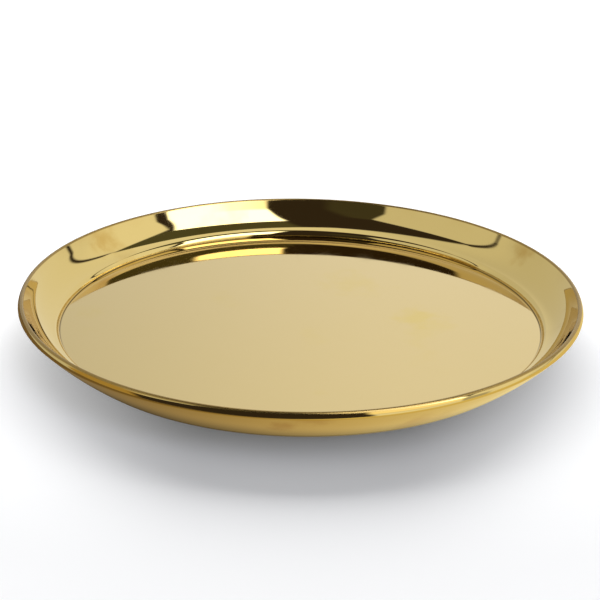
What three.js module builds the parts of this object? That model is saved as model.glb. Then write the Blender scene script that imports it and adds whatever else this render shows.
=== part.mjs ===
// Round serving plate of turned and polished brass, in two pieces. The floor is a flat disc that
// stands on a low foot. The flared wall is a thick ring that stands in a rebate round the edge of the
// disc, where it is soldered. Millimetres, +Z up, origin at the middle of the underside.
import * as THREE from 'three';

// Driving dimensions of the whole plate
const OUTER_DIAMETER = 300;
const HEIGHT = 23.3;

// How far the wall flares out from the edge of the floor to the rim
const WALL_REACH = 20.8;

// Driving dimensions of the floor, and of the foot that raises it
const FLOOR_THICKNESS = 2.4;
const FOOT_HEIGHT = 2;
const FOOT_WIDTH = 6;

// Driving dimensions of the wall's inner face, from the floor up to the rim. The wall is straight over
// its length just below the rim.
const STEP_HEIGHT = 0.3;
const SHOULDER_RADIUS = 3.8;
const LEDGE_SLOPE = THREE.MathUtils.degToRad(19.3);
const WALL_LENGTH = 6.4;
const RIM_RADIUS = 1.8;

// Driving dimensions of the outer face. The foot's outer edge lies a little inside the floor's edge.
const FOOT_INSET = 2.4;
const BASE_EDGE_RADIUS = 3.5;
const BULGE_RADIUS = 140;

// Driving dimensions of the soldered joint
const REBATE_DEPTH = 2;
const JOINT_GAP = 0.3;

// Facets: flats round the plate, and steps along each arc of the two sections
const FLATS = 120;
const BASE_EDGE_STEPS = 3;
const REBATE_LIP_STEPS = 1;
const BULGE_STEPS = 5;
const RIM_STEPS = 3;
const HOLLOW_STEPS = 6;
const SHOULDER_STEPS = 6;

const QUARTER_TURN = Math.PI / 2;

// Centres of the arcs of the section, in the half plane of radius and height
const boreRadius = OUTER_DIAMETER / 2 - WALL_REACH;
const floorHeight = FOOT_HEIGHT + FLOOR_THICKNESS;
const rebateHeight = floorHeight - REBATE_DEPTH;
const rimCentre = new THREE.Vector2(OUTER_DIAMETER / 2 - RIM_RADIUS, HEIGHT - RIM_RADIUS);
const baseEdgeCentre = new THREE.Vector2(boreRadius - FOOT_INSET, BASE_EDGE_RADIUS);
const shoulderCentre = new THREE.Vector2(boreRadius + SHOULDER_RADIUS, floorHeight + STEP_HEIGHT);
const bulgeCentre = centreOfBulge();

// The outer face is one arc that runs on smoothly from the base edge and into the rim
function centreOfBulge() {
  const span = rimCentre.clone().sub(baseEdgeCentre);
  const toEdge = BULGE_RADIUS - BASE_EDGE_RADIUS;
  const toRim = BULGE_RADIUS - RIM_RADIUS;
  const along = (span.lengthSq() + toEdge ** 2 - toRim ** 2) / (2 * span.length());
  const across = Math.sqrt(toEdge ** 2 - along ** 2);
  const direction = span.normalize();
  const inward = new THREE.Vector2(-direction.y, direction.x);
  return baseEdgeCentre.clone().addScaledVector(direction, along).addScaledVector(inward, across);
}

// Angle at which one point of the section sees another
function bearing(from, to) {
  return Math.atan2(to.y - from.y, to.x - from.x);
}

// Angle at which the bulge reaches a height
function bulgeAngle(height) {
  return Math.asin((height - bulgeCentre.y) / BULGE_RADIUS);
}

function pointAt(centre, radius, angle) {
  return new THREE.Vector2(centre.x + radius * Math.cos(angle), centre.y + radius * Math.sin(angle));
}

// Points along an arc, both ends included
function arc(centre, radius, start, end, steps) {
  return Array.from({ length: steps + 1 }, (_, step) =>
    pointAt(centre, radius, THREE.MathUtils.lerp(start, end, step / steps)));
}

// Several arcs that run on into each other, each point kept once
function chain(...arcs) {
  return arcs.flatMap((points, index) => (index === 0 ? points : points.slice(1)));
}

// The inner face from the rim down: a short straight wall, a deep hollow that flattens towards its
// foot, a round shoulder, and the upright step that stands on the floor. The hollow is the one arc
// that runs on smoothly from the shoulder into a straight wall of the wanted length.
function innerFace() {
  const ledgeNormal = LEDGE_SLOPE + QUARTER_TURN;
  const ledgeWay = pointAt(new THREE.Vector2(), 1, ledgeNormal);
  const span = shoulderCentre.clone().sub(rimCentre);
  const spare = RIM_RADIUS - SHOULDER_RADIUS;
  const toHollow = (span.lengthSq() - spare ** 2 - WALL_LENGTH ** 2) / (2 * (spare - span.dot(ledgeWay)));
  const hollowRadius = toHollow - SHOULDER_RADIUS;
  const hollowCentre = shoulderCentre.clone().addScaledVector(ledgeWay, toHollow);
  const wallLean = Math.atan2(hollowRadius + RIM_RADIUS, WALL_LENGTH);
  const wallNormal = bearing(hollowCentre, rimCentre) + wallLean + QUARTER_TURN;
  const hollow = arc(hollowCentre, hollowRadius, wallNormal - Math.PI, ledgeNormal - Math.PI, HOLLOW_STEPS);
  const shoulder = arc(shoulderCentre, SHOULDER_RADIUS, ledgeNormal, Math.PI, SHOULDER_STEPS);
  return { wallNormal, points: chain(hollow, shoulder) };
}

function makeTurnedPiece(name, section) {
  const geometry = new THREE.LatheGeometry(section, FLATS);
  geometry.rotateX(QUARTER_TURN);
  const material = new THREE.MeshStandardMaterial({ color: 0xd9bd74, roughness: 0.12, metalness: 1 });
  const piece = new THREE.Mesh(geometry, material);
  piece.name = name;
  return piece;
}

// The disc has a shallow recess inside the foot, the round base edge, and the lip of the rebate
function makeFloorDisc() {
  const recessRadius = baseEdgeCentre.x - FOOT_WIDTH;
  const edgeEnd = bearing(bulgeCentre, baseEdgeCentre);
  const edge = chain(
    arc(baseEdgeCentre, BASE_EDGE_RADIUS, -QUARTER_TURN, edgeEnd, BASE_EDGE_STEPS),
    arc(bulgeCentre, BULGE_RADIUS, edgeEnd, bulgeAngle(rebateHeight), REBATE_LIP_STEPS),
  );
  return makeTurnedPiece('floor_disc', [
    new THREE.Vector2(0, FOOT_HEIGHT),
    new THREE.Vector2(recessRadius - FOOT_HEIGHT, FOOT_HEIGHT),
    new THREE.Vector2(recessRadius, 0),
    ...edge,
    new THREE.Vector2(boreRadius - JOINT_GAP, rebateHeight),
    new THREE.Vector2(boreRadius - JOINT_GAP, floorHeight),
    new THREE.Vector2(0, floorHeight),
  ]);
}

function makeWallRing() {
  const footHeight = rebateHeight + JOINT_GAP;
  const footInside = new THREE.Vector2(boreRadius, footHeight);
  const rimStart = bearing(bulgeCentre, rimCentre);
  const inner = innerFace();
  const outer = chain(
    arc(bulgeCentre, BULGE_RADIUS, bulgeAngle(footHeight), rimStart, BULGE_STEPS),
    arc(rimCentre, RIM_RADIUS, rimStart, 0, RIM_STEPS),
    arc(rimCentre, RIM_RADIUS, 0, QUARTER_TURN, RIM_STEPS),
    arc(rimCentre, RIM_RADIUS, QUARTER_TURN, inner.wallNormal, RIM_STEPS),
  );
  return makeTurnedPiece('wall_ring', [footInside, ...outer, ...inner.points, footInside]);
}

const servingPlate = new THREE.Group();
servingPlate.name = 'serving_plate';
servingPlate.add(makeFloorDisc(), makeWallRing());

export default servingPlate;
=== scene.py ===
"""Polished brass serving plate: two turned pieces, their finish, a light tent and a camera."""

import math
from collections import namedtuple

import bmesh
import bpy
from bpy.props import FloatProperty, FloatVectorProperty, IntProperty, PointerProperty
from mathutils import Matrix, Vector


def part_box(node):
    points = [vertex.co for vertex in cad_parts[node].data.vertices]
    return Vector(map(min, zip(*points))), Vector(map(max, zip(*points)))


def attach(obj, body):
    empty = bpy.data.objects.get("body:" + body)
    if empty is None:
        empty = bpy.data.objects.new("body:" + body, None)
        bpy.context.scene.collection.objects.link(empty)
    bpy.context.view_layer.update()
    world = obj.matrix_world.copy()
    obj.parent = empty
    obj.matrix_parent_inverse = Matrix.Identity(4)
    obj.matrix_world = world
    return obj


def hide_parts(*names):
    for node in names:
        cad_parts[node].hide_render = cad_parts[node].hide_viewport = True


bl_info = {
    "name": "Brass Serving Plate",
    "version": (1, 0, 0),
    "blender": (4, 5, 0),
    "location": "3D View > Sidebar > Plate",
    "description": "Builds a round brass serving plate with its finish, light tent and camera",
    "category": "Object",
}

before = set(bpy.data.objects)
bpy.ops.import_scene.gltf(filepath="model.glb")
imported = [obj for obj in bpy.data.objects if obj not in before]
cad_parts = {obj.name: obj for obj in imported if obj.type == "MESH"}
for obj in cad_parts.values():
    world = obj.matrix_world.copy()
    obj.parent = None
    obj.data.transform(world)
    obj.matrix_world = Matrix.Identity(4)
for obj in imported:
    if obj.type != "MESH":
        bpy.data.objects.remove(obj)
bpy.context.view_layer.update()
DISC_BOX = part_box("floor_disc")
RING_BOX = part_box("wall_ring")

MM = 0.001
QUARTER_TURN = math.pi / 2
WHITE = (1, 1, 1, 1)
BLACK = (0, 0, 0, 1)


# Settings that a user would change


def length(name, description, default):
    return FloatProperty(
        name=name, description=description, default=default, unit="LENGTH", precision=5
    )


def angle(name, description, degrees):
    return FloatProperty(
        name=name, description=description, default=math.radians(degrees), subtype="ANGLE"
    )


def colour(name, description, default):
    return FloatVectorProperty(
        name=name,
        description=description,
        default=default,
        subtype="COLOR",
        size=3,
        min=0,
        soft_max=1,
    )


def share(name, description, default):
    return FloatProperty(
        name=name, description=description, default=default, min=0, soft_max=1, subtype="FACTOR"
    )


def number(name, description, default):
    return FloatProperty(name=name, description=description, default=default)


class PlateSizes(bpy.types.PropertyGroup):
    """Sizes of the plate's section, which has a finer rim and hollow than the solids"""

    outer_radius: length("Outer radius", "Axis to the outside of the rim", RING_BOX[1].x)
    height: length("Height", "Underside to the top of the rim", RING_BOX[1].z)
    floor_height: length("Floor height", "Table to the serving floor", DISC_BOX[1].z)
    foot_height: length("Foot height", "Depth of the recess inside the foot", 2 * MM)
    foot_width: length("Foot width", "Width of the flat face of the foot", 6 * MM)
    foot_inset: length("Foot inset", "Outside of the foot to the edge of the floor", 2.4 * MM)
    wall_reach: length("Wall reach", "Edge of the floor to the outside of the rim", 20.8 * MM)
    step_height: length("Step height", "Upright step between floor and shoulder", 0.05 * MM)
    shoulder_radius: length("Shoulder radius", "Round shoulder above the step", 3.8 * MM)
    ledge_slope: angle("Ledge slope", "Flattest place, between shoulder and wall", 17.3)
    wall_length: length("Wall length", "Straight part of the wall, just below the rim", 5.2 * MM)
    lip_radius: length("Lip radius", "Tight rounding at the outermost edge of the rim", 0.8 * MM)
    lip_lean: angle("Lip lean", "Where the outside of the rim runs into the lip", 78)
    rim_radius: length("Rim radius", "Rounding of the rim on its outside", 6 * MM)
    crest_radius: length("Crest radius", "Rounding of the rim's crest and inside", 1.2 * MM)
    crest_lean: angle("Crest lean", "Where the crest runs into the outside of the rim", 55)
    base_edge_radius: length("Base edge radius", "Rounding from foot to outer face", 3.5 * MM)
    bulge_radius: length("Bulge radius", "Slight bulge of the outer face", 140 * MM)
    rebate_depth: length("Rebate depth", "Serving floor down to the seat of the wall", 2 * MM)
    seam: length("Seam", "Hairline of solder between the floor and the wall", 0.06 * MM)
    flats: IntProperty(name="Flats", description="Faces round the plate", default=360, min=24)


class BrassFinish(bpy.types.PropertyGroup):
    """Colours and polish of the brass"""

    wall: colour("Wall", "Polished brass of the wall and the rim", (0.68, 0.52, 0.195))
    floor: colour("Floor", "Brass of the floor, paler because it is wiped", (0.70, 0.545, 0.25))
    # The stain colour also tints the rim's top edge, as part of a painted dark reflection
    stain_and_painted_shade: colour("Stain", "Yellow brown film where the polish has worn off", (0.52, 0.33, 0.08))
    film: colour("Film", "Faint yellow film that wet vessels left", (0.70, 0.53, 0.13))
    # The grime colour also darkens the crease, and it tints the rim's top edge as a painted dark
    # reflection
    grime_and_painted_shade: colour("Grime", "Old polish in the crease and dark specks", (0.10, 0.065, 0.025))
    gloss: share("Gloss", "Roughness of the cleanest polish", 0.025)
    haze: share("Haze", "Roughness that wiping adds", 0.05)
    waves: length("Waves", "Height of the waves that the turning left", 0.005 * MM)
    scratches: length("Scratches", "Depth of the hairline scratches", 0.0012 * MM)


class StageSettings(bpy.types.PropertyGroup):
    """The light tent, the paper and the camera"""

    ground: colour("Ground", "Paper under the plate", (0.8, 0.8, 0.8))
    # The paper in the brass is a glow of painted light, warm, and dimmer on the left than on the
    # right
    painted_glow_left: colour("Mirrored left", "Paper in the brass, on the left", (0.84, 0.58, 0.27))
    painted_glow_right: colour("Mirrored right", "Paper in the brass, on the right", (1, 0.84, 0.42))
    tent_left: colour("Tent left", "Cloth of the tent on the left", (0.76, 0.76, 0.745))
    tent_right: colour("Tent right", "Cloth of the tent on the right", (1.03, 1.03, 1.02))
    far_left: colour("Far left", "Warm brown wall at the tent's far left", (0.5, 0.35, 0.12))
    opening: colour("Opening", "Dark room behind the camera", (0.04, 0.03, 0.025))
    panel: colour("Panel", "Dim panel on the right of the opening", (0.1, 0.1, 0.06))
    window: colour("Window", "Bright window over the camera", (3.6, 3.8, 4.6))
    glow: colour("Glow", "Cloth beside the camera, below the window", (1.45, 1.3, 0.95))
    paper_light: colour("Light on the paper", "Light from above", (0.2, 0.2, 0.2))
    paper_flanks: colour("Light from the flanks", "Light on the paper", (0.85, 0.85, 0.85))
    lamp_width: length("Lamp width", "Soft panel behind the plate", 4.5)
    lamp_height: length("Lamp height", "Soft panel behind the plate", 2.2)
    lamp_distance: length("Lamp distance", "Soft panel to the plate's axis", 3)
    lamp_power: number("Lamp power", "Watts of the soft panel", 320)
    camera_distance: length("Camera distance", "Camera to the middle of the rim", 770 * MM)
    target_drop: length("Target drop", "Top of the rim to the point looked at", 1.8 * MM)
    camera_height: angle("Camera elevation", "How far the camera looks down", 22.18)
    camera_roll: angle("Camera roll", "How far the camera is tilted sideways", 0.83)
    focal_length: number("Focal length", "In pixels of the picture", 1429.5)
    rim_across: number("Middle across", "Picture column of the rim's middle", 300.9)
    rim_down: number("Middle down", "Picture row of the rim's middle", 289.4)


# Section of the plate, as points of radius and height

# Steps along its arcs, along the straight wall and across the floor
BASE_EDGE_STEPS = 10
REBATE_LIP_STEPS = 2
BULGE_STEPS = 24
LIP_STEPS = 12
RIM_STEPS = 16
CREST_STEPS = 20
WALL_STEPS = 8
HOLLOW_STEPS = 28
SHOULDER_STEPS = 28
FLOOR_STEPS = 24

# Points nearer than this are one point, and edges that turn more than this stay sharp
MERGE_DISTANCE = 1e-8
SHARP_TURN = math.radians(35)


def polar(radius, turn):
    return radius * Vector((math.cos(turn), math.sin(turn)))


def bearing(start, end):
    return math.atan2(end.y - start.y, end.x - start.x)


def arc(centre, radius, start, end, steps):
    turns = [start + (end - start) * step / steps for step in range(steps + 1)]
    return [centre + polar(radius, turn) for turn in turns]


class Section:
    """Arcs of the plate's section, each tangent to the next"""

    def __init__(self, sizes):
        self.sizes = sizes
        self.bore = sizes.outer_radius - sizes.wall_reach
        self.rebate = sizes.floor_height - sizes.rebate_depth
        self.rim_start = QUARTER_TURN - sizes.lip_lean
        self.crest_start = QUARTER_TURN - sizes.crest_lean
        to_lip = polar(sizes.rim_radius - sizes.lip_radius, self.rim_start)
        to_crest = polar(sizes.rim_radius - sizes.crest_radius, self.crest_start)
        rim_across = sizes.outer_radius - sizes.lip_radius - to_lip.x
        rim_height = sizes.height - sizes.crest_radius - to_crest.y
        self.rim = Vector((rim_across, rim_height))
        self.crest = self.rim + to_crest
        self.lip = self.rim + to_lip
        self.base_edge = Vector((self.bore - sizes.foot_inset, sizes.base_edge_radius))
        shoulder_height = sizes.floor_height + sizes.step_height
        self.shoulder = Vector((self.bore + sizes.shoulder_radius, shoulder_height))
        self.bulge = self.centre_of_bulge()

    def centre_of_bulge(self):
        """The bulge runs on smoothly from the base edge and into the lip"""
        span = self.lip - self.base_edge
        to_edge = self.sizes.bulge_radius - self.sizes.base_edge_radius
        to_lip = self.sizes.bulge_radius - self.sizes.lip_radius
        along = (span.length_squared + to_edge**2 - to_lip**2) / (2 * span.length)
        across = math.sqrt(to_edge**2 - along**2)
        way = span.normalized()
        return self.base_edge + along * way + across * Vector((-way.y, way.x))

    def bulge_angle(self, height):
        return math.asin((height - self.bulge.y) / self.sizes.bulge_radius)

    def inner_face(self):
        """The hollow is the one arc from the shoulder into a straight wall of the wanted length"""
        sizes = self.sizes
        ledge_normal = sizes.ledge_slope + QUARTER_TURN
        ledge_way = polar(1, ledge_normal)
        span = self.shoulder - self.crest
        spare = sizes.crest_radius - sizes.shoulder_radius
        to_hollow = span.length_squared - spare**2 - sizes.wall_length**2
        to_hollow /= 2 * (spare - span.dot(ledge_way))
        radius = to_hollow - sizes.shoulder_radius
        hollow = self.shoulder + to_hollow * ledge_way
        wall_lean = math.atan2(radius + sizes.crest_radius, sizes.wall_length)
        wall_normal = bearing(hollow, self.crest) + wall_lean + QUARTER_TURN
        points = arc(hollow, radius, wall_normal - math.pi, ledge_normal - math.pi, HOLLOW_STEPS)
        shoulder = arc(self.shoulder, sizes.shoulder_radius, ledge_normal, math.pi, SHOULDER_STEPS)
        return wall_normal, points + shoulder[1:]

    def ring(self):
        sizes = self.sizes
        foot = self.rebate + sizes.seam
        bulge_start = self.bulge_angle(foot)
        lip_start = bearing(self.bulge, self.lip)
        wall_normal, inner = self.inner_face()
        outer = arc(self.bulge, sizes.bulge_radius, bulge_start, lip_start, BULGE_STEPS)
        for centre, radius, start, end, steps in (
            (self.lip, sizes.lip_radius, lip_start, self.rim_start, LIP_STEPS),
            (self.rim, sizes.rim_radius, self.rim_start, self.crest_start, RIM_STEPS),
            (self.crest, sizes.crest_radius, self.crest_start, wall_normal, CREST_STEPS),
        ):
            outer += arc(centre, radius, start, end, steps)[1:]
        wall = [outer[-1].lerp(inner[0], step / WALL_STEPS) for step in range(1, WALL_STEPS)]
        return [Vector((self.bore, foot))] + outer + wall + inner

    def disc(self):
        sizes = self.sizes
        recess = self.base_edge.x - sizes.foot_width
        edge_end = bearing(self.bulge, self.base_edge)
        seat = self.bulge_angle(self.rebate)
        edge = arc(self.base_edge, sizes.base_edge_radius, -QUARTER_TURN, edge_end, BASE_EDGE_STEPS)
        edge += arc(self.bulge, sizes.bulge_radius, edge_end, seat, REBATE_LIP_STEPS)[1:]
        shank = self.bore - sizes.seam
        under = [
            Vector((0, sizes.foot_height)),
            Vector((recess - sizes.foot_height, sizes.foot_height)),
            Vector((recess, 0)),
        ]
        inward = range(FLOOR_STEPS, -1, -1)
        across = [Vector((shank * step / FLOOR_STEPS, sizes.floor_height)) for step in inward]
        return under + edge + [Vector((shank, self.rebate))] + across


def turned_piece(name, node, section, closed, finish):
    """Spins a section into a piece that stands for a node of the frame"""
    work = bmesh.new()
    places = [work.verts.new((point.x, 0, point.y)) for point in section]
    ends = places[1:] + places[:1] if closed else places[1:]
    lines = [work.edges.new(pair) for pair in zip(places, ends)]
    bmesh.ops.spin(
        work,
        geom=places + lines,
        cent=(0, 0, 0),
        axis=(0, 0, 1),
        angle=math.tau,
        steps=bpy.context.scene.plate_sizes.flats,
        use_merge=True,
    )
    bmesh.ops.remove_doubles(work, verts=work.verts, dist=MERGE_DISTANCE)
    bmesh.ops.recalc_face_normals(work, faces=work.faces)
    mesh = bpy.data.meshes.new(name)
    work.to_mesh(mesh)
    work.free()
    if not mesh.polygons:
        raise RuntimeError(f"{name} has no faces")
    mesh.shade_smooth()
    mesh.set_sharp_from_angle(angle=SHARP_TURN)
    mesh.materials.append(finish)
    piece = bpy.data.objects.new(name, mesh)
    bpy.context.scene.collection.objects.link(piece)
    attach(piece, "root")
    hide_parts(node)


# Shader nodes


def opaque(paint):
    return (*paint, 1)


def add(tree, kind, **settings):
    node = tree.nodes.new(kind)
    for key, value in settings.items():
        setattr(node, key, value)
    return node


def wire(tree, value, socket):
    if isinstance(value, bpy.types.NodeSocket):
        tree.links.new(value, socket)
    else:
        socket.default_value = value


def wire_all(tree, values, sockets):
    for value, socket in zip(values, sockets):
        wire(tree, value, socket)


def maths(tree, operation, *values):
    node = add(tree, "ShaderNodeMath", operation=operation)
    wire_all(tree, values, node.inputs)
    return node.outputs[0]


def overlap(tree, first, *others):
    for other in others:
        first = maths(tree, "MULTIPLY", first, other)
    return first


def strongest(tree, first, *others):
    for other in others:
        first = maths(tree, "MAXIMUM", first, other)
    return first


def vector_maths(tree, operation, *vectors):
    node = add(tree, "ShaderNodeVectorMath", operation=operation)
    wire_all(tree, vectors, node.inputs)
    return node.outputs


def split(tree, vector):
    node = add(tree, "ShaderNodeSeparateXYZ")
    wire(tree, vector, node.inputs[0])
    return node.outputs


def ramp_between(tree, value, low, high):
    node = add(tree, "ShaderNodeMapRange", interpolation_type="SMOOTHSTEP")
    wire_all(tree, (value, low, high, 0.0, 1.0), node.inputs)
    return node.outputs[0]


def mix_colour(tree, factor, first, second):
    node = add(tree, "ShaderNodeMix", data_type="RGBA")
    wire(tree, factor, node.inputs["Factor"])
    wire_all(tree, (first, second), node.inputs[6:8])
    return node.outputs[2]


def mix_shader(tree, factor, first, second):
    node = add(tree, "ShaderNodeMixShader")
    wire_all(tree, (factor, first, second), node.inputs)
    return node.outputs[0]


def emission(tree, paint, strength):
    node = add(tree, "ShaderNodeEmission")
    wire_all(tree, (paint, strength), node.inputs)
    return node.outputs[0]


def noise(tree, place, scale, detail=2.0):
    node = add(tree, "ShaderNodeTexNoise")
    wire(tree, place, node.inputs["Vector"])
    wire(tree, scale, node.inputs["Scale"])
    wire(tree, detail, node.inputs["Detail"])
    return node.outputs["Fac"]


def ray_kinds(tree):
    """The light path, and a mask of the rays that the brass mirrors after they left the paper"""
    rays = add(tree, "ShaderNodeLightPath").outputs
    return rays, maths(tree, "MINIMUM", rays["Is Glossy Ray"], rays["Diffuse Depth"])


# Marks on the brass

# Waves, haze, stains, specks and blotches: cells to the metre, detail, and the range of the noise
WAVE_CELLS, WAVE_DETAIL = 34.0, 1.0
HAZE_CELLS, HAZE_DETAIL = 55.0, 4.0
HAZE_RANGE = (0.35, 0.75)
STAIN_CELLS, STAIN_DETAIL = 21.0, 5.0
STAIN_RANGE = (0.60, 0.74)
SPECK_CELLS = 38.0
SPECK_RANGE = (0.72, 1.0)
SPECK_SIZE = 0.028
BLOTCH_CELLS, BLOTCH_DETAIL = 120.0, 4.0
BLOTCH_RAGGED = 1.6
BLOTCH_RANGE = (1.75, 0.75)

# Hairline scratches: stretch of the noise, its range, and the turn and added density of each run
SCRATCH_STRETCH = (60, 2600, 60)
SCRATCH_RANGE = (0.74, 0.80)
SCRATCH_RUNS = ((0.5, 0.0), (2.1, 0.01), (-0.35, 0.0), (1.2, -0.01))


def hairlines(tree, place, turn, density):
    """Short straight scratches along one direction, as a mask"""
    node = add(tree, "ShaderNodeMapping")
    wire(tree, place, node.inputs["Vector"])
    wire(tree, (0, 0, turn), node.inputs["Rotation"])
    wire(tree, SCRATCH_STRETCH, node.inputs["Scale"])
    low, high = SCRATCH_RANGE
    return ramp_between(tree, noise(tree, node.outputs[0], 1.0), low - density, high - density)


def new_group(name, inputs, outputs):
    tree = bpy.data.node_groups.new(name, "ShaderNodeTree")
    for kind, way in ((inputs, "INPUT"), (outputs, "OUTPUT")):
        for label, socket in kind.items():
            tree.interface.new_socket(label, in_out=way, socket_type=socket)
    return tree, add(tree, "NodeGroupInput").outputs, add(tree, "NodeGroupOutput").inputs


def polish_group():
    """Marks of turning, wiping and age on polished brass"""
    made = bpy.data.node_groups.get("polish_marks")
    if made:
        return made
    tree, given, out = new_group(
        "polish_marks",
        {"Place": "NodeSocketVector", "Waves": "NodeSocketFloat", "Scratches": "NodeSocketFloat"},
        {name: "NodeSocketFloat" for name in ("Height", "Haze", "Stain", "Speck")},
    )
    place = given["Place"]
    waves = overlap(tree, noise(tree, place, WAVE_CELLS, WAVE_DETAIL), given["Waves"])
    lines = strongest(tree, *(hairlines(tree, place, *run) for run in SCRATCH_RUNS))
    cuts = overlap(tree, lines, given["Scratches"])
    wire(tree, maths(tree, "SUBTRACT", waves, cuts), out["Height"])
    cloud = ramp_between(tree, noise(tree, place, HAZE_CELLS, HAZE_DETAIL), *HAZE_RANGE)
    wire(tree, strongest(tree, cloud, lines), out["Haze"])
    worn = ramp_between(tree, noise(tree, place, STAIN_CELLS, STAIN_DETAIL), *STAIN_RANGE)
    wire(tree, worn, out["Stain"])
    cells = add(tree, "ShaderNodeTexVoronoi", feature="F1")
    wire(tree, place, cells.inputs["Vector"])
    wire(tree, SPECK_CELLS, cells.inputs["Scale"])
    lot = add(tree, "ShaderNodeSeparateColor")
    wire(tree, cells.outputs["Color"], lot.inputs[0])
    size = overlap(tree, ramp_between(tree, lot.outputs[0], *SPECK_RANGE), SPECK_SIZE)
    wire(tree, maths(tree, "LESS_THAN", cells.outputs["Distance"], size), out["Speck"])
    return tree


def blotch_group():
    """A blotch of tarnish with a ragged edge, round a place on the plate"""
    made = bpy.data.node_groups.get("tarnish_blotch")
    if made:
        return made
    tree, given, out = new_group(
        "tarnish_blotch",
        {"Place": "NodeSocketVector", "Middle": "NodeSocketVector", "Reach": "NodeSocketFloat"},
        {"Mask": "NodeSocketFloat"},
    )
    place = given["Place"]
    away = vector_maths(tree, "DISTANCE", place, given["Middle"])["Value"]
    near = maths(tree, "DIVIDE", away, given["Reach"])
    cloud = noise(tree, place, BLOTCH_CELLS, BLOTCH_DETAIL)
    ragged = maths(tree, "MULTIPLY_ADD", cloud, BLOTCH_RAGGED, near)
    wire(tree, ramp_between(tree, ragged, *BLOTCH_RANGE), out["Mask"])
    return tree


# Brass of the two pieces

# Shares of the tints
SPECK_TINT = 0.5
CREASE_DARKENING = 0.7
FLOOR_STAIN_TINT = 0.25
FLOOR_HAZE_TINT = 0.06
WALL_STAIN_TINT = 0.32
OUTSIDE_STAIN_TINT = 0.6
HANDLED_TINT = 0.12
# The rim's top edge: brown and dark tints that paint a dark reflection, and the rougher polish of
# that band
PAINTED_DARK_EDGE_BROWN = 0.8
PAINTED_DARK_EDGE_SHADE = 0.5
EDGE_ROUGHNESS = 0.22

# Darker in the crease: its width on the floor, and its start, height and depth on the wall
FLOOR_CREASE_WIDTH = 0.8 * MM
WALL_CREASE_START = 0.1 * MM
WALL_CREASE_HEIGHT = 0.7 * MM
WALL_CREASE_DEPTH = 1 * MM

# Where hands hold the wall, and its rougher top edge with a painted dark reflection, down from the
# rim's top
HANDLED_BAND = (7 * MM, 1 * MM)
PAINTED_DARK_EDGE_BAND = (0.95 * MM, 0.45 * MM)

# Upward part of the normal at which the wall becomes its outer face
OUTSIDE_FACING = (-0.2, -0.5)

# Blotches: middle and reach in metres, and share of the tint
Blotch = namedtuple("Blotch", "middle reach tint")
FLOOR_BLOTCHES = (
    Blotch((65 * MM, 4 * MM, 4.4 * MM), 20 * MM, 0.6),
    Blotch((30 * MM, 52 * MM, 4.4 * MM), 26 * MM, 0.3),
)
WALL_BLOTCHES = (
    Blotch((131 * MM, 67 * MM, 20 * MM), 12 * MM, 0.8),
    Blotch((-118 * MM, 84 * MM, 19 * MM), 16 * MM, 0.7),
    Blotch((-8 * MM, -143 * MM, 14 * MM), 9 * MM, 0.85),
)


class Brass:
    """One brass material, with the marks of polish and the places of the piece"""

    def __init__(self, name, base):
        finish = bpy.context.scene.brass_finish
        self.material = bpy.data.materials.new(name)
        self.material.use_nodes = True
        self.tree = self.material.node_tree
        self.shader = self.tree.nodes["Principled BSDF"]
        self.shader.inputs["Metallic"].default_value = 1
        self.place = add(self.tree, "ShaderNodeTexCoord").outputs["Object"]
        marks = add(self.tree, "ShaderNodeGroup", node_tree=polish_group())
        wire_all(self.tree, (self.place, finish.waves, finish.scratches), marks.inputs)
        self.marks = marks.outputs
        self.height = split(self.tree, self.place)["Z"]
        flat = vector_maths(self.tree, "MULTIPLY", self.place, (1, 1, 0))[0]
        self.radius = vector_maths(self.tree, "LENGTH", flat)["Value"]
        self.colour = opaque(base)
        hazy = (self.marks["Haze"], finish.haze, finish.gloss)
        self.roughness = maths(self.tree, "MULTIPLY_ADD", *hazy)

    def tint(self, mask, amount, paint):
        factor = overlap(self.tree, mask, amount)
        self.colour = mix_colour(self.tree, factor, self.colour, opaque(paint))

    def blotches(self, places, paint):
        for blotch in places:
            node = add(self.tree, "ShaderNodeGroup", node_tree=blotch_group())
            wire_all(self.tree, (self.place, blotch.middle, blotch.reach), node.inputs)
            self.tint(node.outputs["Mask"], blotch.tint, paint)

    def roughen(self, mask, amount):
        self.roughness = maths(self.tree, "MULTIPLY_ADD", mask, amount, self.roughness)

    def finish_up(self):
        wire(self.tree, self.colour, self.shader.inputs["Base Color"])
        wire(self.tree, self.roughness, self.shader.inputs["Roughness"])
        node = add(self.tree, "ShaderNodeBump")
        node.inputs["Distance"].default_value = 1
        wire(self.tree, self.marks["Height"], node.inputs["Height"])
        wire(self.tree, node.outputs[0], self.shader.inputs["Normal"])
        return self.material


def floor_brass():
    """Floor: wiped the most, so it is hazy, with hairline scratches and a faint yellow film"""
    sizes = bpy.context.scene.plate_sizes
    finish = bpy.context.scene.brass_finish
    brass = Brass("floor_brass", finish.floor)
    brass.tint(brass.marks["Stain"], FLOOR_STAIN_TINT, finish.film)
    brass.tint(brass.marks["Haze"], FLOOR_HAZE_TINT, finish.wall)
    brass.blotches(FLOOR_BLOTCHES, finish.film)
    brass.tint(brass.marks["Speck"], SPECK_TINT, finish.grime_and_painted_shade)
    bore = sizes.outer_radius - sizes.wall_reach
    # Darker towards the crease at the foot of the wall
    crease = ramp_between(brass.tree, brass.radius, bore - FLOOR_CREASE_WIDTH, bore)
    brass.tint(crease, CREASE_DARKENING, finish.grime_and_painted_shade)
    return brass.finish_up()


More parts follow.
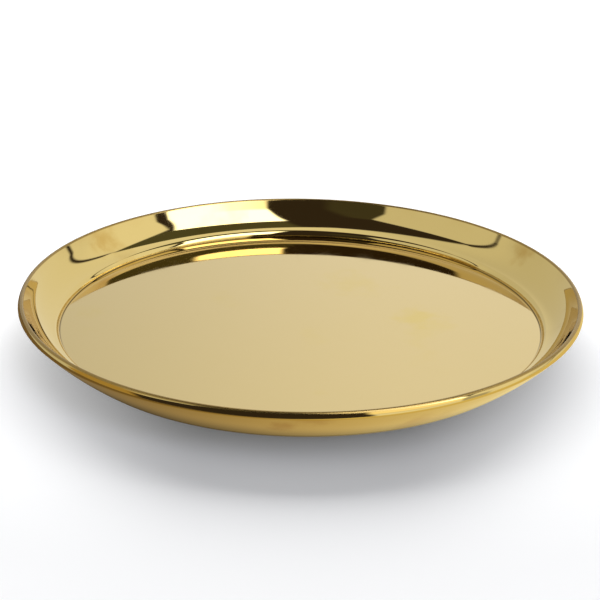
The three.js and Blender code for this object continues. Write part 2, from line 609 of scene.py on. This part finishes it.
def wall_brass():
    """Wall: a rougher top edge tinted as a painted dark reflection, darker in the crease at its
    foot, stains and specks on the outside
    """
    sizes = bpy.context.scene.plate_sizes
    finish = bpy.context.scene.brass_finish
    brass = Brass("wall_brass", finish.wall)
    tree, marks = brass.tree, brass.marks
    facing = split(tree, add(tree, "ShaderNodeNewGeometry").outputs["Normal"])
    outside = ramp_between(tree, facing["Z"], *OUTSIDE_FACING)
    brass.tint(overlap(tree, marks["Stain"], outside), OUTSIDE_STAIN_TINT, finish.stain_and_painted_shade)
    brass.tint(marks["Stain"], WALL_STAIN_TINT, finish.stain_and_painted_shade)
    brass.blotches(WALL_BLOTCHES, finish.stain_and_painted_shade)
    brass.tint(marks["Speck"], SPECK_TINT, finish.grime_and_painted_shade)
    handled, edge = (
        ramp_between(tree, brass.height, *(sizes.height - drop for drop in band))
        for band in (HANDLED_BAND, PAINTED_DARK_EDGE_BAND)
    )
    brass.tint(overlap(tree, marks["Haze"], handled), HANDLED_TINT, finish.stain_and_painted_shade)
    # Painted dark reflection: the top edge of the rim is tinted brown and dark
    brass.tint(edge, PAINTED_DARK_EDGE_BROWN, finish.stain_and_painted_shade)
    brass.tint(edge, PAINTED_DARK_EDGE_SHADE, finish.grime_and_painted_shade)
    # Darker just above the crease at the foot of the wall, on its inside
    crease = sizes.floor_height + WALL_CREASE_START
    low = ramp_between(tree, brass.height, crease + WALL_CREASE_HEIGHT, crease)
    bore = sizes.outer_radius - sizes.wall_reach
    inside = maths(tree, "LESS_THAN", brass.radius, bore + WALL_CREASE_DEPTH)
    brass.tint(overlap(tree, low, inside), CREASE_DARKENING, finish.grime_and_painted_shade)
    brass.roughen(outside, finish.haze)
    brass.roughen(edge, EDGE_ROUGHNESS)
    return brass.finish_up()


# Light tent, in degrees to the right of the plate and degrees over it from the back

# A straight edge between two of its places, with half the width over which it blurs
Edge = namedtuple("Edge", "start end soft", defaults=(1.0,))

# The window, whose glass is smaller than its frame, and which fades towards the table
WINDOW_SILL = Edge((3.5, 94), (28, 85))
WINDOW_RIGHT = Edge((60, 121), (62, 170))
WINDOW_LEFT = Edge((14, 140), (3.5, 94))
GLASS_CORNER = Edge((30, 86), (50, 119))
FRAME_CORNER = Edge((33, 87), (60, 121))
WINDOW_FADE = (168.0, 158.0)
GLOW_RANGE = (132.0, 142.0)

# The dark opening, with a flap of cloth on its left and the post beside the window
FLAP = (Edge((-36.5, 72.5), (-22, 112)), Edge((-22, 112), (-34, 138)))
LEFT_SILL = Edge((-36.5, 71), (-4, 70), 2.0)
RIGHT_SILL = (Edge((-4, 70), (10, 60), 1.6), Edge((10, 60), (26, 54.5)))
JAMB = Edge((26, 55), (34.5, 89))
POST = (Edge((60, 121), (0, 121), 2.0), Edge((22, 121), (27, 175), 2.0))

# The opening where it widens low down, and a fainter gap on the right of the window
PORCH = (Edge((-62, 175), (-62, 121), 3.0), Edge((22, 137), (27, 175), 2.0))
RIGHT_GAP = (Edge((62, 170), (60, 121)), Edge((72, 121), (74, 170), 2.0))
RIGHT_GAP_SHARE = 0.5
PORCH_TOP = Edge((-74, 140.5), (74, 140.5), 1.5)

# The dim panel, and the lighter top of the opening's left
PANEL = (Edge((3.5, 94), (0, 70)), Edge((28, 85), (3.5, 94)))
LIGHT_TOP = (Edge((-15, 112), (-9, 142), 3.0), Edge((-24, 110), (-12, 114), 3.0))
LIGHT_TOP_SHARE = 0.45

# The dark seams of the cloth, and what bounds them
SEAM_WIDTH = 4.6
SEAM_SOFT = 0.3
LEFT_SEAM = Edge((-60, 66.5), (-36, 68.5))
LEFT_SEAM_ENDS = (Edge((-34, 60), (-34, 80)), Edge((-66, 80), (-66, 60), 4.0))
RIGHT_SEAM = Edge((26, 52), (58, 24))
RIGHT_SEAM_END = Edge((27, 80), (27, 20))

# The cloth: from its left to its right colour, and from its level to the lift overhead
CLOTH_SIDES = (-15.0, 6.0)
CLOTH_OVERHEAD = (40.0, 65.0)
CLOTH_LEVEL = 0.97
CLOTH_LIFT = 0.12
FAR_LEFT = Edge((-73, 70), (-57, 130), 4.0)

# Where the flanks begin and end, as the paper is lit by them
PAPER_FLANKS = (10.0, 70.0)


class Tent:
    """Masks of the parts of the light tent"""

    def __init__(self, tree):
        self.tree = tree
        way = split(tree, add(tree, "ShaderNodeTexCoord").outputs["Generated"])
        over = maths(tree, "ARCTAN2", way["Z"], way["Y"])
        aside = maths(tree, "ARCSINE", way["X"])
        self.over = overlap(tree, over, math.degrees(1))
        self.aside = overlap(tree, aside, math.degrees(1))

    def left_of(self, edge):
        """Share of each direction on the left of an edge, when one looks along it"""
        run, rise = edge.end[0] - edge.start[0], edge.end[1] - edge.start[1]
        span = math.hypot(run, rise)
        up = overlap(self.tree, self.over, run / span)
        along = maths(self.tree, "MULTIPLY_ADD", self.aside, -rise / span, up)
        line = (edge.start[1] * run - edge.start[0] * rise) / span
        return ramp_between(self.tree, along, line - edge.soft, line + edge.soft)

    def within(self, *edges):
        return overlap(self.tree, *(self.left_of(edge) for edge in edges))

    def within_any(self, *edges):
        return strongest(self.tree, *(self.left_of(edge) for edge in edges))

    def window(self, corner):
        """The bright window beside the camera, up to the given edge on its lower right"""
        shape = self.within(WINDOW_SILL, corner, WINDOW_RIGHT, WINDOW_LEFT)
        return overlap(self.tree, shape, ramp_between(self.tree, self.over, *WINDOW_FADE))

    def seam(self, line):
        """A dark line above an edge"""
        soft = SEAM_WIDTH * SEAM_SOFT
        start, end = ((place[0], place[1] + SEAM_WIDTH) for place in (line.start, line.end))
        return self.within(line._replace(soft=soft), Edge(end, start, soft))

    def seams(self):
        left = overlap(self.tree, self.seam(LEFT_SEAM), self.within(*LEFT_SEAM_ENDS))
        right = overlap(self.tree, self.seam(RIGHT_SEAM), self.left_of(RIGHT_SEAM_END))
        return strongest(self.tree, left, right)

    def opening(self):
        """The dark room behind the camera, with the frame of the window"""
        sill = strongest(self.tree, self.left_of(LEFT_SILL), self.within(*RIGHT_SILL))
        clear = maths(self.tree, "SUBTRACT", 1.0, self.within(*FLAP))
        room = overlap(self.tree, sill, self.left_of(JAMB), clear, self.within_any(*POST))
        return strongest(self.tree, room, self.window(FRAME_CORNER))

    def porch(self):
        """The dark room again where it widens, low down beside the camera"""
        gap = overlap(self.tree, self.within(*RIGHT_GAP), RIGHT_GAP_SHARE)
        room = strongest(self.tree, self.within(*PORCH), gap)
        return overlap(self.tree, room, self.left_of(PORCH_TOP))

    def panel(self):
        """The lower right of the opening and the top of its left, a little lighter than the rest"""
        top = overlap(self.tree, self.within(*LIGHT_TOP), LIGHT_TOP_SHARE)
        return strongest(self.tree, self.within(*PANEL), top)


def tent_world():
    """A pale tent all round, with a dark opening and a bright window over the camera"""
    stage = bpy.context.scene.plate_stage
    world = bpy.data.worlds.new("light_tent")
    world.use_nodes = True
    tree = world.node_tree
    tree.nodes.clear()
    tent = Tent(tree)
    rays, off_paper = ray_kinds(tree)

    side = ramp_between(tree, tent.aside, *CLOTH_SIDES)
    cloth = mix_colour(tree, side, opaque(stage.tent_left), opaque(stage.tent_right))
    overhead = ramp_between(tree, tent.over, *CLOTH_OVERHEAD)
    level = maths(tree, "MULTIPLY_ADD", overhead, CLOTH_LIFT, CLOTH_LEVEL)
    shade = vector_maths(tree, "MULTIPLY", cloth, level)[0]

    room = mix_colour(tree, tent.panel(), opaque(stage.opening), opaque(stage.panel))
    low = ramp_between(tree, tent.over, *GLOW_RANGE)
    bright = mix_colour(tree, low, opaque(stage.window), opaque(stage.glow))
    flank = ramp_between(tree, maths(tree, "ABSOLUTE", tent.aside), *PAPER_FLANKS)
    on_paper = mix_colour(tree, flank, opaque(stage.paper_light), opaque(stage.paper_flanks))
    for mask, paint in (
        (tent.left_of(FAR_LEFT), opaque(stage.far_left)),
        (tent.opening(), room),
        (tent.seams(), opaque(stage.opening)),
        (tent.window(GLASS_CORNER), bright),
        (tent.porch(), opaque(stage.opening)),
        (rays["Is Diffuse Ray"], on_paper),
        (off_paper, BLACK),
        (rays["Is Camera Ray"], WHITE),
    ):
        shade = mix_colour(tree, mask, shade, paint)
    light = add(tree, "ShaderNodeBackground")
    wire(tree, shade, light.inputs["Color"])
    wire(tree, light.outputs[0], add(tree, "ShaderNodeOutputWorld").inputs["Surface"])
    bpy.context.scene.world = world


# Paper

PAPER_RADIUS = 12
PAPER_SIDES = 96

# The paper in the brass: where it passes from its left to its right, how much nearer it begins on
# the right, where it leaves the plate's shade, and its level in the shade and out of it
# The brass sees the paper as a glow of painted light and shade, which stands in for lit paper
MIRRORED_SIDES = (-160 * MM, 120 * MM)
MIRRORED_SLANT = 6 * MM
MIRRORED_START = (126 * MM, 140 * MM)
MIRRORED_IN_SHADE = 0.05
MIRRORED_OPEN = 0.95
MIRRORED_LEFT_SHARE = 0.21
MIRRORED_RIGHT_GAIN = 0.72

# Lift of the shadow for the eye: everywhere, and on the flanks close to the plate
LIFT = 0.12
FLANK_LIFT = 0.22
FLANK_START = (40 * MM, 130 * MM)
FLANK_END = (260 * MM, 150 * MM)

# Where the paper sweeps up into white
SWEEP = (500 * MM, 1600 * MM)


def painted_mirrored_paper(tree, across, away):
    """Warm painted light and shade of the paper, which glows only as the brass mirrors it"""
    stage = bpy.context.scene.plate_stage
    side = ramp_between(tree, across, *MIRRORED_SIDES)
    reach = maths(tree, "MULTIPLY_ADD", side, MIRRORED_SLANT, away)
    level = maths(tree, "MULTIPLY_ADD", side, MIRRORED_RIGHT_GAIN, MIRRORED_LEFT_SHARE)
    lit = overlap(tree, ramp_between(tree, reach, *MIRRORED_START), level)
    warm = mix_colour(tree, side, opaque(stage.painted_glow_left), opaque(stage.painted_glow_right))
    strength = maths(tree, "MULTIPLY_ADD", lit, MIRRORED_OPEN, MIRRORED_IN_SHADE)
    return emission(tree, warm, strength)


def lift_of_shadow(tree, across, away, eye):
    """A little light that only the eye sees, most of it on both flanks of the plate"""
    beside = ramp_between(tree, maths(tree, "ABSOLUTE", across), *FLANK_START)
    flank = overlap(tree, beside, ramp_between(tree, away, *FLANK_END))
    amount = maths(tree, "MULTIPLY_ADD", flank, FLANK_LIFT, LIFT)
    return emission(tree, WHITE, overlap(tree, amount, eye))


def ground_paper():
    """Paper: plain to the eye and white far off, a warm painted glow to the brass"""
    stage = bpy.context.scene.plate_stage
    material = bpy.data.materials.new("ground_paper")
    material.use_nodes = True
    tree = material.node_tree
    tree.nodes.clear()
    rays, off_paper = ray_kinds(tree)
    eye = rays["Is Camera Ray"]
    place = add(tree, "ShaderNodeTexCoord").outputs["Object"]
    across = split(tree, place)["X"]
    away = vector_maths(tree, "LENGTH", place)["Value"]
    paper = add(tree, "ShaderNodeBsdfDiffuse")
    shown = mix_colour(tree, off_paper, opaque(stage.ground), BLACK)
    wire(tree, shown, paper.inputs["Color"])
    mirrored = maths(tree, "SUBTRACT", rays["Is Glossy Ray"], off_paper)
    # Painted light: the paper glows for the brass, warm, dimmer on the left, with a painted shade
    # under the plate
    warm = painted_mirrored_paper(tree, across, away)
    lifted = add(tree, "ShaderNodeAddShader")
    wire(tree, mix_shader(tree, mirrored, paper.outputs[0], warm), lifted.inputs[0])
    wire(tree, lift_of_shadow(tree, across, away, eye), lifted.inputs[1])
    far = overlap(tree, ramp_between(tree, away, *SWEEP), eye)
    sweep = mix_shader(tree, far, lifted.outputs[0], emission(tree, WHITE, 1.0))
    wire(tree, sweep, add(tree, "ShaderNodeOutputMaterial").inputs["Surface"])
    return material


def ground():
    """Pale paper that the plate stands on"""
    mesh = bpy.data.meshes.new("ground")
    work = bmesh.new()
    bmesh.ops.create_circle(work, cap_ends=True, segments=PAPER_SIDES, radius=PAPER_RADIUS)
    work.to_mesh(mesh)
    work.free()
    mesh.materials.append(ground_paper())
    sheet = bpy.data.objects.new("ground", mesh)
    bpy.context.scene.collection.objects.link(sheet)


# Lamp and camera

# Height of the lamp's middle, as a share of its own height
LAMP_RISE = 0.6

# Side of the photo's frame in pixels, width of the sensor in millimetres, and far end of the view
PHOTO_PIXELS = 600
SENSOR_WIDTH = 36
VIEW_END = 50


def back_lamp():
    """A tall soft panel behind the plate, which lights the paper and throws the shadow forwards"""
    stage = bpy.context.scene.plate_stage
    data = bpy.data.lights.new("back_panel", "AREA")
    data.shape = "RECTANGLE"
    data.size = stage.lamp_width
    data.size_y = stage.lamp_height
    data.energy = stage.lamp_power
    lamp = bpy.data.objects.new("back_panel", data)
    lamp.location = (0, stage.lamp_distance, stage.lamp_height * LAMP_RISE)
    lamp.rotation_euler = (-QUARTER_TURN, 0, 0)
    lamp.visible_glossy = False
    bpy.context.scene.collection.objects.link(lamp)


def camera():
    """The camera in front of the plate, at the photo's angle"""
    stage = bpy.context.scene.plate_stage
    sizes = bpy.context.scene.plate_sizes
    target = Vector((0, 0, sizes.height - stage.target_drop))
    away = Vector((0, -math.cos(stage.camera_height), math.sin(stage.camera_height)))
    right = Vector((1, 0, 0))
    up = away.cross(right)
    roll_cos, roll_sin = math.cos(stage.camera_roll), math.sin(stage.camera_roll)
    axes = (right * roll_cos + up * roll_sin, up * roll_cos - right * roll_sin, away)
    data = bpy.data.cameras.new("photo_camera")
    data.sensor_width = SENSOR_WIDTH
    data.lens = stage.focal_length / PHOTO_PIXELS * SENSOR_WIDTH
    data.shift_x = 0.5 - stage.rim_across / PHOTO_PIXELS
    data.shift_y = stage.rim_down / PHOTO_PIXELS - 0.5
    data.clip_end = VIEW_END
    eye = bpy.data.objects.new("photo_camera", data)
    eye.rotation_euler = Matrix(axes).transposed().to_euler()
    eye.location = target + stage.camera_distance * away
    bpy.context.scene.collection.objects.link(eye)
    bpy.context.scene.camera = eye


# Operators and panel


class PLATE_OT_floor_disc(bpy.types.Operator):
    """Turn the flat floor disc"""

    bl_idname = "plate.floor_disc"
    bl_label = "Floor Disc"

    def execute(self, context):
        section = Section(context.scene.plate_sizes).disc()
        finish = floor_brass()
        turned_piece("floor_disc_polished", "floor_disc", section, False, finish)
        return {"FINISHED"}


class PLATE_OT_wall_ring(bpy.types.Operator):
    """Turn the flared wall ring"""

    bl_idname = "plate.wall_ring"
    bl_label = "Wall Ring"

    def execute(self, context):
        section = Section(context.scene.plate_sizes).ring()
        finish = wall_brass()
        turned_piece("wall_ring_polished", "wall_ring", section, True, finish)
        return {"FINISHED"}


class PLATE_OT_stage(bpy.types.Operator):
    """Set up the light tent, the paper, the lamp and the camera"""

    bl_idname = "plate.stage"
    bl_label = "Stage"

    def execute(self, context):
        context.scene.view_settings.view_transform = "Standard"
        tent_world()
        ground()
        back_lamp()
        camera()
        return {"FINISHED"}


class PLATE_PT_sidebar(bpy.types.Panel):
    """Lists the plate's pieces and their settings"""

    bl_idname = "PLATE_PT_sidebar"
    bl_label = "Serving Plate"
    bl_space_type = "VIEW_3D"
    bl_region_type = "UI"
    bl_category = "Plate"

    def draw(self, context):
        for operator in OPERATORS:
            self.layout.operator(operator.bl_idname)
        for name, kind in SETTINGS.items():
            box = self.layout.box()
            for key in kind.__annotations__:
                box.prop(getattr(context.scene, name), key)


OPERATORS = (PLATE_OT_floor_disc, PLATE_OT_wall_ring, PLATE_OT_stage)
SETTINGS = {
    "plate_sizes": PlateSizes,
    "brass_finish": BrassFinish,
    "plate_stage": StageSettings,
}
CLASSES = (*SETTINGS.values(), *OPERATORS, PLATE_PT_sidebar)


def register():
    for kind in CLASSES:
        bpy.utils.register_class(kind)
    for name, kind in SETTINGS.items():
        setattr(bpy.types.Scene, name, PointerProperty(type=kind))


def unregister():
    for name in SETTINGS:
        delattr(bpy.types.Scene, name)
    for kind in reversed(CLASSES):
        bpy.utils.unregister_class(kind)


def main():
    register()
    bpy.ops.plate.floor_disc()
    bpy.ops.plate.wall_ring()
    bpy.ops.plate.stage()


if __name__ == "__main__":
    main()
